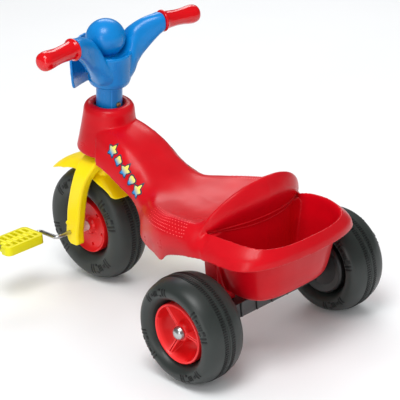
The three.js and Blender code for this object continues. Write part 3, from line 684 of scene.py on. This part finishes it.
class Wheel:
    """A tyre's place and size, with its section as a superellipse."""

    def __init__(self, place, radius, width):
        self.place, self.radius, self.width = place, radius, width
        self.half_height = (radius - RIM_R) / 2

    def section(self, angle, lift=0.0):
        """The (x, radius) point at an angle round the section, 90 degrees at the crown."""
        power = 2 / TYRE_POWER
        c, s = math.cos(angle), math.sin(angle)
        x = (self.width / 2 - LOWERED) * math.copysign(abs(c) ** power, c)
        height = (self.half_height - LOWERED) * math.copysign(abs(s) ** power, s)
        across = math.copysign(abs(x) ** (TYRE_POWER - 1), x)
        out = math.copysign(abs(height) ** (TYRE_POWER - 1), height)
        slope = Vector((across / (self.width / 2) ** TYRE_POWER, out / self.half_height**TYRE_POWER))
        slope.normalize()
        return x + slope.x * lift, RIM_R + self.half_height + height + slope.y * lift

    def angle_at(self, x):
        share = min(abs(x) / (self.width / 2 - LOWERED), 1) ** (TYRE_POWER / 2)
        return math.pi / 2 - math.copysign(math.asin(share), x)

    def at(self, angle, turn, lift):
        x, r = self.section(angle, lift)
        return np.array(self.place) + (x, r * math.cos(turn), r * math.sin(turn))

    def tile(self, low, high, first, last, height, steps=4):
        """A raised tile on the skin between two section angles and two turns."""
        rings = []
        for lift, inset in ((-0.15, 0), (height * 0.75, 0.04), (height, 0.14)):
            a0, a1 = low + (high - low) * inset, high - (high - low) * inset
            t0, t1 = first + (last - first) * inset, last - (last - first) * inset
            ring = [self.at(a, t0, lift) for a in np.linspace(a0, a1, steps)]
            ring += [self.at(a, t1, lift) for a in np.linspace(a1, a0, steps)]
            rings.append(ring)
        return loft(rings)


# How far a tyre's skin lies inside the frame's, which leaves room for the tread.
LOWERED = 0.9
# Marks round the tread in each row, and the turn that each fills times their number.
TICKS = 132
TICK_TURN = 3.0
FRONT = Wheel((0, FRONT_Y, FRONT_Z), FRONT_R, FRONT_WIDTH)
REAR = {name: Wheel((sign * REAR_X, 0, REAR_Z), REAR_R, REAR_WIDTH) for name, sign in SIDES}


# Sidewall marks of one group: start and width round the wheel, and low and high section angles.
MARKS = [
    (-0.36, 0.040, -14, 22), (-0.28, 0.040, -14, 22), (-0.20, 0.095, -14, -4), (-0.20, 0.095, 12, 22),
    (-0.07, 0.024, -8, 16), (-0.02, 0.024, -8, 16), (0.03, 0.024, -8, 16), (0.09, 0.095, -2, 10),
    (0.22, 0.040, -14, 22), (0.30, 0.040, -14, 22),
]


def tyre(wheel, label, body, node):
    profile = []
    for k in range(72):
        angle = 2 * math.pi * (k + 0.5) / 72
        x, r = wheel.section(angle)
        profile.append((x, max(r, RIM_R)))
    profile.append(profile[0])
    skin = turned(profile, 192, "X", wheel.place)
    finished(solid(f"{label}_skin", *skin), body, RUBBER, "tyre", node)
    ticks = []
    for k in range(TICKS):
        turn = 2 * math.pi * k / TICKS
        for x0, x1 in ((3.2, 10.5), (-10.5, -3.2)):
            shift = 0.5 * (x0 < 0)
            first = turn + shift * 2 * math.pi / TICKS
            low, high = wheel.angle_at(x0), wheel.angle_at(x1)
            ticks.append(wheel.tile(low, high, first, first + TICK_TURN / TICKS, LOWERED, 4))
    seam = []
    for turn in np.linspace(0, 2 * math.pi, 240, endpoint=False):
        ring = [(1.1, -0.1), (0.7, LOWERED * 0.9), (-0.7, LOWERED * 0.9), (-1.1, -0.1)]
        seam.append([wheel.at(wheel.angle_at(x), turn, lift) for x, lift in ring])
    points, faces = loft(seam, False)
    faces += [(239 * 4 + i, 239 * 4 + (i + 1) % 4, (i + 1) % 4, i) for i in range(4)]
    finished(solid(f"{label}_seam", points, faces), body, RUBBER, "tyre", sharp=50)
    finished(solid(f"{label}_ticks", *together(*ticks)), body, MARK, "tyre", sharp=50)
    marks = []
    for group in range(4):
        for sign in (1, -1):
            centre = group * math.pi / 2 + 0.5 + (0.3 if sign < 0 else 0)
            for start, wide, low, high in MARKS:
                first = centre + start
                angles = [math.radians(a) for a in (low, high)]
                if sign < 0:
                    angles = [math.pi - a for a in angles]
                marks.append(wheel.tile(min(angles), max(angles), first, first + wide, 0.8, 6))
    finished(solid(f"{label}_marks", *together(*marks)), body, MARK, "tyre", sharp=50)


def placed(profile_parts, place, sign):
    points, faces = profile_parts
    return points * (sign, 1, 1) + np.array(place), faces


# One spoke is two thin walls on a lower web, as blocks from the hub outward.
SPOKE_BLOCKS = [
    ((4, -2.6, 12), (21, -0.9, 42)),
    ((4, 0.9, 12), (21, 2.6, 42)),
    ((4, -2, 12), (12, 2, 41)),
]


def rear_wheel(name, sign):
    body = f"rear_wheel_{name}"
    wheel = REAR[name]
    tyre(wheel, f"rear_tyre_{name}", body, f"rear_tyre_{name}")
    edge = RIM_R - GAP
    bore = AXLE_R + GAP
    face = [
        (-6, edge), (26, edge), (28.6, edge - 0.6), (29.5, edge - 2), (28.8, edge - 3.6),
        (25, edge - 5), (14, 38), (8, 33),
        (6, 28), (6, 20), (9, 17.5), (18, 14.5), (21, 13), (22, 11.5), (22, bore), (-10, bore),
        (-10, 14), (0, 20),
        (2, 33), (-6, edge - 4), (-6, edge),
    ]
    made = solid(f"rear_rim_{name}_dish", *placed(turned(face, 128), wheel.place, sign))
    ribs = []
    for k in range(3):
        turn = Matrix.Rotation(k * 2 * math.pi / 3 + 0.5, 4, "X")
        for low, high in SPOKE_BLOCKS:
            points, faces = block(low, high)
            points[:, 0] = np.where((points[:, 0] > 20) & (points[:, 2] > 30), 26, points[:, 0])
            ribs.append(solid("rib", *placed((moved(points, turn), faces), wheel.place, sign)))
    combine(made, ribs, "UNION")
    finished(rounded(made, 0.6), body, RIM_RED, "rim_red", f"rear_rim_{name}")
    inner = [
        (-34, edge - 3), (-31, edge), (-7, edge), (-7, edge - 5), (-24, 30), (-16, 18),
        (-16, bore), (-36, bore), (-36, 15),
        (-30, 33), (-34, edge - 3),
    ]
    hub = solid(f"rear_hub_{name}_inner", *placed(turned(inner, 96), wheel.place, sign))
    finished(rounded(hub, 0.8), body, BLACK, "black_plastic", f"rear_hub_{name}")
    dome = [
        (0, bore), (0, 10), (0.4, 10.5), (2.2, 10.5), (2.7, 10), (4.6, 9.6), (6.4, 8.3), (8, 6.2),
        (9, 3.6), (9.4, 0.05),
        (6.5, 0.05), (6.5, bore), (0, bore),
    ]
    place = (sign * (REAR_X + 22 + GAP), 0, REAR_Z)
    cap = solid(f"axle_cap_{name}_dome", *placed(turned(dome, 64), place, sign))
    finished(cap, "frame", STEEL, "steel", f"axle_cap_{name}", sharp=45)


def front_wheel():
    tyre(FRONT, "front_tyre", "front_wheel", "front_tyre")
    edge = RIM_R - GAP
    bore = ROD_R + GAP
    for name, sign in SIDES:
        face = [
            (GAP / 2, edge), (26, edge), (27.6, edge - 0.5), (28, edge - 1.5), (27.2, edge - 3),
            (25, edge - 4.5),
            (23, 40), (21.6, 34), (21, 28), (21, 20), (22, 16.5), (25, 14.6), (26, 13), (26, bore),
            (GAP / 2, bore),
            (GAP / 2, 10), (16, 16), (18, 38), (GAP / 2, edge - 3), (GAP / 2, edge),
        ]
        made = solid(f"front_rim_{name}_dish", *placed(turned(face, 128), FRONT.place, sign))
        pockets = []
        for k in range(6):
            turn = Matrix.Rotation(k * math.pi / 3 + 0.2, 4, "X")
            points, faces = block((19.4, -3.2, 31), (26, 3.2, 36))
            pockets.append(solid("pocket", *placed((moved(points, turn), faces), FRONT.place, sign)))
        combine(made, pockets, "DIFFERENCE")
        finished(rounded(made, 0.5), "front_wheel", RIM_RED, "rim_red", f"front_rim_{name}")


def crank():
    bend = 9
    corners = np.array([
        (-SPINDLE_END_X, CRANK_ARM, 0), (-CRANK_X, CRANK_ARM, 0), (-CRANK_X, 0, 0),
        (CRANK_X, 0, 0), (CRANK_X, -CRANK_ARM, 0), (SPINDLE_END_X, -CRANK_ARM, 0),
    ], float)
    path = [corners[0]]
    for before, at, after in zip(corners, corners[1:], corners[2:]):
        into = at + bend * (before - at) / np.linalg.norm(before - at)
        out = at + bend * (after - at) / np.linalg.norm(after - at)
        path += list(np.linspace(path[-1], into, 12)[1:-1])
        path += [into * (1 - t) ** 2 + 2 * at * t * (1 - t) + out * t**2 for t in np.linspace(0, 1, 14)]
    path += list(np.linspace(path[-1], corners[-1], 12)[1:])
    ends = path[0] + (ROD_R, 0, 0), path[-1] - (ROD_R, 0, 0)
    path[0], path[-1] = ends
    points, faces = tube(np.array(path), ROD_R, 32)
    bar = solid("crank_bar", points + np.array(FRONT.place), faces)
    finished(bar, "front_wheel", STEEL, "steel", "crank_rod")


def pedal(name, sign):
    half_x, half_y = (PEDAL_OUTER_X - PEDAL_INNER_X) / 2, PEDAL_LENGTH / 2
    corner = 9
    outline = []
    for cx, cy, start in ((1, 1, 0), (-1, 1, 90), (-1, -1, 180), (1, -1, 270)):
        for a in np.linspace(start, start + 90, 10):
            outline.append((cx * (half_x - corner) + corner * math.cos(math.radians(a)),
                            cy * (half_y - corner) + corner * math.sin(math.radians(a))))
    top, bottom = PEDAL_T / 2 - PEDAL_DROP, -PEDAL_T / 2 - PEDAL_DROP
    made = solid(f"pedal_{name}_tread", *loft([[(x, y, z) for x, y in outline] for z in (bottom, top)]))
    cuts = [solid("notch", *block((half_x - 5, -7.5, bottom - 1), (half_x + 9, 7.5, top + 1)))]
    for x in (-27.5, -16.5, -5.5, 5.5, 16.5, 27.5):
        reach = 22 if abs(x) < 25 else 19
        for low, high in ((-reach, -6.5), (6.5, reach)):
            cuts.append(solid("slot", *block((x - 3.4, low, bottom + 3), (x + 3.4, high, top + 1))))
        cuts.append(solid("groove", *block((x - 3.4, -7, top - 1.2), (x + 3.4, 7, top + 1))))
    combine(made, cuts, "DIFFERENCE")
    rounded(made, 0.7, 3)
    bars = []
    for y in (-14.5, 14.5):
        low, high = (-half_x + 4, y - 1, bottom + 2), (half_x - 4, y + 1, top - 3.4)
        bars.append(solid("bar", *block(low, high)))
    combine(made, bars, "UNION")
    bore = solid("bore", *rod((-60, 0, 0), (60, 0, 0), ROD_R + GAP, steps=32))
    combine(made, [bore], "DIFFERENCE")
    shift = np.array((sign * (PEDAL_INNER_X + half_x), FRONT_Y - sign * CRANK_ARM, FRONT_Z)) * MM
    for vertex in made.data.vertices:
        vertex.co.x = sign * vertex.co.x + shift[0]
        vertex.co.y += shift[1]
        vertex.co.z += shift[2]
    if sign < 0:
        made.data.flip_normals()
    finished(made, f"pedal_{name}", PEDAL_YELLOW, "pedal_yellow", f"pedal_{name}")
    outline = [(0, 0.05), (0, 6.1), (0.4, 6.5), (3.2, 6.5), (4.2, 6.1), (4.8, 5.2), (5, 4), (5, 0.05)]
    place = (sign * (SPINDLE_END_X + GAP), FRONT_Y - sign * CRANK_ARM, FRONT_Z)
    cap = solid(f"pedal_cap_{name}_button", *placed(turned(outline, 48), place, sign))
    finished(cap, "front_wheel", BLACK, "black_plastic", f"pedal_cap_{name}")


# ---------------------------------------------------------------- fork and mudguard

# One leg and its half of the crown, as x, y, z, half width along y and half thickness.
FORK_STATIONS = [
    (53.5, -380, 77, 9, 8.5), (53.5, -382, 82, 12.5, 8.5), (53.5, -382.5, 97.5, 14.5, 8.5),
    (53.5, -377, 120, 15, 8.5),
    (53.5, -372.5, 140, 15.5, 8.5), (53.5, -363, 168, 15, 8.5), (52.5, -354, 190, 15.5, 8.5),
    (49, -347, 206, 17, 8.5),
    (39, -343, 219, 20, 8.5), (22, -342, 226.5, 23, 8.5), (0, -342, 228, 24, 8),
]
LEG_CORNERS = [
    (-1, -0.6), (-0.86, -1), (0.86, -1), (1, -0.6), (1, 0.6), (0.86, 1), (-0.86, 1), (-1, 0.6),
]


def spread(stations, count):
    """The stations' two half sizes, at count even steps along them."""
    last = len(stations) - 1
    at = np.linspace(0, 1, count) * last
    columns = [[station[c] for station in stations] for c in (3, 4)]
    return np.array([np.interp(at, range(last + 1), column) for column in columns]).T


def fork_leg(sign):
    path = spline([s[:3] for s in FORK_STATIONS], np.linspace(0, 1, 91))
    sizes = spread(FORK_STATIONS, 91)
    rings = []
    for i, (at, (half_y, half_t)) in enumerate(zip(path, sizes)):
        along = path[min(i + 1, 90)] - path[max(i - 1, 0)]
        flat = np.array((along[2], 0, -along[0]))
        flat /= np.linalg.norm(flat)
        ring = [at + a * half_y * np.array((0, 1, 0)) + b * half_t * flat for a, b in LEG_CORNERS]
        rings.append(np.array(ring) * (sign, 1, 1))
    return solid("leg", *loft(rings))


# The mudguard's ends and how far its sides fall back from them, as angles round the wheel,
# how far it wraps over, and how much lower its sides are at the rear and at the front.
GUARD_REAR, GUARD_REAR_SIDE = 37, 5
GUARD_FRONT, GUARD_FRONT_SIDE = 136, 28
GUARD_BEND, GUARD_DROP, GUARD_DROP_MORE = 85, 9, 9


def mudguard():
    rows = []
    for i in range(91):
        row = []
        for j in range(61):
            across = j / 30 - 1
            rear = math.radians(GUARD_REAR + GUARD_REAR_SIDE * abs(across) ** 3)
            front = math.radians(GUARD_FRONT - GUARD_FRONT_SIDE * abs(across) ** 2.4)
            angle = front + (rear - front) * i / 90
            bend = math.radians(GUARD_BEND) * across
            t = min(max((math.degrees(angle) - 42) / 20, 0), 1)
            drop = GUARD_DROP + GUARD_DROP_MORE * t * t * (3 - 2 * t)
            r = GUARD_R - drop * (1 - math.cos(bend) ** 0.8)
            x = GUARD_HALF * math.copysign(abs(math.sin(bend)) ** 0.85, bend)
            row.append((x, FRONT_Y + r * math.cos(angle), FRONT_Z + r * math.sin(angle)))
        rows.append(row)
    points, faces = grid_faces(np.array(rows))
    made = solid("guard", points, faces)
    return use(made, "SOLIDIFY", thickness=3 * MM, offset=-1, use_even_offset=False)


def steering_rod(low, high, r0, r1=None, steps=64):
    return rod(STEER @ Vector((0, 0, low)), STEER @ Vector((0, 0, high)), r0, r1, steps)


def fork():
    made = fork_leg(1)
    made.name = "fork_moulding"
    parts = [fork_leg(-1), mudguard(), solid("crown", *steering_rod(-37, -1.5, 30, 27))]
    for sign in (1, -1):
        parts.append(solid("boss", *rod((sign * 59, -391, 113), (sign * 63, -391, 113), 3.6, 3)))
    combine(made, parts, "UNION")
    melted(made, 1.1, 5)
    combine(made, [solid("spigot", *steering_rod(-10, 100, SPIGOT_R))], "UNION")
    bore = solid("bore", *rod((-90, FRONT_Y, FRONT_Z), (90, FRONT_Y, FRONT_Z), ROD_R + GAP))
    combine(made, [bore], "DIFFERENCE")
    finished(made, "steering", YELLOW, "fork_yellow", "fork", sharp=50)


# ---------------------------------------------------------------- handlebar

# Half of the cowl's wing, as x, y, middle z, half depth and half height.
BAR_STATIONS = [
    (0, -318, 374, 28, 24), (20, -317, 376, 27, 25), (32, -313, 390, 22, 32), (40, -310, 402, 18, 31),
    (50, -306, 412, 15.5, 27.5), (60, -301, 420, 14.5, 24.5), (70, -296, 427, 14.5, 20.5),
    (79, -292, 432, 15, 17),
    (86.8, -290, 435, 15, 15.5),
]


WING_POWER = 0.8  # below 1 squares a wing's section


def wings():
    whole = [(-x, *rest) for x, *rest in BAR_STATIONS[:0:-1]] + BAR_STATIONS
    count = 121
    ts = np.linspace(0, 1, count)
    path = spline([s[:3] for s in whole], ts)
    half = spread(whole, count)
    rings = []
    for (x, y, z), (half_y, half_z) in zip(path, half):
        ring = []
        for angle in np.linspace(0, 2 * math.pi, 48, endpoint=False):
            c, s = math.cos(angle), math.sin(angle)
            along = half_y * math.copysign(abs(c) ** WING_POWER, c)
            ring.append((x, y + along, z + half_z * math.copysign(abs(s) ** WING_POWER, s)))
        rings.append(ring)
    return solid("cowl_moulding", *loft(rings))


def shield():
    rows = []
    for i in range(41):
        row = []
        for j in range(61):
            across, up = j / 30 - 1, i / 40
            x = SHIELD_HALF * across * (1 - 0.09 * abs(2 * up - 1) ** 6)
            y = -376 + 33 * (abs(x) / SHIELD_HALF) ** 1.5
            row.append((x, y, 346 + 6 * across**2 + (78 - 26 * across**2) * up))
        rows.append(row)
    points, faces = grid_faces(np.array(rows))
    made = solid("shield", points, faces)
    inward = -1 if made.data.polygons[0].normal.y < 0 else 1
    return use(made, "SOLIDIFY", thickness=4 * MM, offset=inward)


def handlebar():
    made = wings()
    outline = [
        (111, 0.05), (111, 26), (112, 29), (115, 32), (121, COWL_R), (161, COWL_R),
        (164.5, COWL_R - 0.6), (166, COWL_R - 2),
        (165.5, COWL_R - 4), (162, COWL_R - 6.5), (159, COWL_R - 12), (158, 0.05),
    ]
    points, faces = turned(outline, 96, "Z")
    parts = [solid("cowl", moved(points, STEER), faces)]
    ball = [(math.sin(a), max(math.cos(a), 0.005)) for a in np.linspace(-math.pi / 2, math.pi / 2, 41)]
    points, faces = turned(ball, 80, "Z")
    parts.append(solid("dome", points * (32, 31, 30) + (0, -322, 425.5), faces))
    parts.append(solid("web", *block((-9, -369, 362), (9, -340, 388))))
    parts.append(shield())
    combine(made, parts, "UNION")
    melted(made, 1.0, 4)
    extra = [solid("stem", *steering_rod(4, 118, STEM_R, steps=96))]
    for sign in (1, -1):
        a, b = (GRIP_START.lerp(GRIP_END, share) * 1.0 for share in (-0.12, 0.8))
        extra.append(solid("spigot", *rod((sign * a.x, a.y, a.z), (sign * b.x, b.y, b.z), 8, steps=32)))
    combine(made, extra, "UNION")
    combine(made, [solid("bore", *steering_rod(-5, 103, SPIGOT_R + GAP))], "DIFFERENCE")
    finished(made, "steering", BLUE, "cowl_blue", "handlebar", sharp=50)


def grip(name, sign):
    bore, length = 8 + GAP, (GRIP_END - GRIP_START).length
    depth = length * 0.8 + 1
    outer = spline([
        (GAP, 15.6, 0), (1.2, 17.2, 0), (3.4, 17.6, 0), (5, 16.4, 0), (7.5, 14.8, 0),
        (18, 13.6, 0), (30, 12.9, 0), (42, 13.4, 0),
        (54, 14.8, 0), (62, 15, 0), (68.5, 12.8, 0), (72, 8, 0), (73, 0.01, 0),
    ], np.linspace(0, 1, 90))
    inner = [(depth, 0.05), (depth, bore), (GAP, bore), (GAP, 15.6)]
    profile = [(a, max(r, 0.05)) for a, r, _ in outer] + inner
    steps = 96
    points, faces = turned(profile, steps, "Z")
    angle = np.arctan2(points[:, 1], points[:, 0])
    reach = np.hypot(points[:, 0], points[:, 1])
    along = points[:, 2]
    window = np.clip((along - 10) / 8, 0, 1) * np.clip((68 - along) / 8, 0, 1) * (reach > bore + 1)
    factor = 1 - window * 0.022 * (0.5 + 0.5 * np.cos(10 * angle)) ** 3
    points[:, :2] *= factor[:, None]
    ahead = (GRIP_END - GRIP_START).normalized()
    ahead.x *= sign
    start = Vector((sign * GRIP_START.x, GRIP_START.y, GRIP_START.z))
    turn = Matrix.Translation(start) @ Vector((0, 0, 1)).rotation_difference(ahead).to_matrix().to_4x4()
    sleeve = solid(f"grip_{name}_sleeve", moved(points, turn), faces)
    finished(sleeve, "steering", GRIP_RED, "grip_red", f"grip_{name}", sharp=50)


def stem_screw():
    head = [(0.05, -0.2), (3.1, -0.2), (3.9, 0.5), (4, 1.1), (4, 2.6), (2, 2.6), (2, 14), (0.05, 15.5)]
    points, faces = turned([(z, r) for r, z in head], 40, "Z")
    turn = STEER @ Matrix.Translation((0, STEM_R + 3, 82)) @ Matrix.Rotation(math.pi / 2, 4, "X")
    made = solid("stem_screw_head", moved(points, turn), faces)
    cuts = [solid("slot", moved(block(low, high)[0], turn), block(low, high)[1])
            for low, high in (((-2.2, -0.5, -1), (2.2, 0.5, 0.9)), ((-0.5, -2.2, -1), (0.5, 2.2, 0.9)))]
    combine(made, cuts, "DIFFERENCE")
    finished(made, "steering", BRASS, "brass", "stem_screw")


# ---------------------------------------------------------------- plain pieces that the frame keeps

CARRIED = {"rear_axle": "STEEL", "head_bush_upper": "NYLON", "head_bush_lower": "NYLON"}
SIDED = {"carrier_screw": "STEEL", "axle_washer": "STEEL", "crank_spacer": "NYLON"}


def carried_over():
    chosen = {name: label for name, label in CARRIED.items()}
    chosen.update({f"{name}_{side}": label for name, label in SIDED.items() for side, _ in SIDES})
    finishes = {"STEEL": STEEL, "NYLON": NYLON}
    for name, label in chosen.items():
        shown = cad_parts[name]
        shown.data.materials.clear()
        shown.data.materials.append(finishes[label])


# ---------------------------------------------------------------- stage, camera and light


def camera():
    data = bpy.data.cameras.new("camera")
    made = bpy.data.objects.new("camera", data)
    bpy.context.scene.collection.objects.link(made)
    yaw, pitch, roll = (math.radians(a) for a in (-131.85, 22.28, -4.28))
    ahead = Vector((math.cos(yaw) * math.cos(pitch), math.sin(yaw) * math.cos(pitch), -math.sin(pitch)))
    level = ahead.cross(Vector((0, 0, 1))).normalized()
    upright = level.cross(ahead)
    right = math.cos(roll) * level + math.sin(roll) * upright
    upward = -math.sin(roll) * level + math.cos(roll) * upright
    turn = Matrix((right, upward, -ahead)).transposed().to_4x4()
    eye = Vector((1520.3, 1567.3 + AXLE_Y, 1132.1)) * MM
    made.matrix_world = Matrix.Translation(eye) @ turn
    data.sensor_width = 36
    data.lens = 144.64
    data.clip_end = 100
    bpy.context.scene.camera = made


def area_light(name, place, target, size, power, colour=(1, 1, 1)):
    data = bpy.data.lights.new(name, "AREA")
    data.shape = "RECTANGLE"
    data.size, data.size_y = size
    data.energy = power
    data.color = colour
    made = bpy.data.objects.new(name, data)
    made.location = place
    made.rotation_mode = "QUATERNION"
    made.rotation_quaternion = (Vector(target) - Vector(place)).to_track_quat("-Z", "Y")
    bpy.context.scene.collection.objects.link(made)


def floor():
    data = bpy.data.meshes.new("floor")
    half = 6
    corners = [(-half, -half, 0), (half, -half, 0), (half, half, 0), (-half, half, 0)]
    data.from_pydata(corners, [], [(0, 1, 2, 3)])
    made = bpy.data.objects.new("floor", data)
    bpy.context.scene.collection.objects.link(made)
    pale, nodes, links, shader = blank("studio_floor")
    shade = mix(nodes, links, noise(nodes, links, 3, 2), (0.86, 0.875, 0.89), (0.9, 0.91, 0.92))
    links.new(shade, shader.inputs["Base Color"])
    shader.inputs["Roughness"].default_value = 0.7
    data.materials.append(pale)


def studio():
    world = bpy.data.worlds.new("studio")
    bpy.context.scene.world = world
    world.use_nodes = True
    nodes, links = world.node_tree.nodes, world.node_tree.links
    nodes["Background"].inputs[0].default_value = (1, 1, 1, 1)
    glossy = nodes.new("ShaderNodeLightPath").outputs["Is Glossy Ray"]
    links.new(ramp(nodes, links, glossy, 0, 1, 0.64, 0.12), nodes["Background"].inputs[1])
    aim = (0, 0, 0.2)
    area_light("key", (0.9, 0.7, 2.6), aim, (1.2, 1.2), 44)
    area_light("side", (2.4, 1.2, 1.0), aim, (0.7, 1.8), 16)
    area_light("back", (-1.6, -1.6, 2.0), aim, (1.8, 0.8), 20)
    bpy.context.scene.view_settings.view_transform = "Standard"


camera()
floor()
studio()
carried_over()
shell = body_shell()
seat_details()
decals(shell)
carrier()
for side_name, side_sign in SIDES:
    rear_wheel(side_name, side_sign)
    pedal(side_name, side_sign)
    grip(side_name, side_sign)
front_wheel()
crank()
fork()
handlebar()
stem_screw()
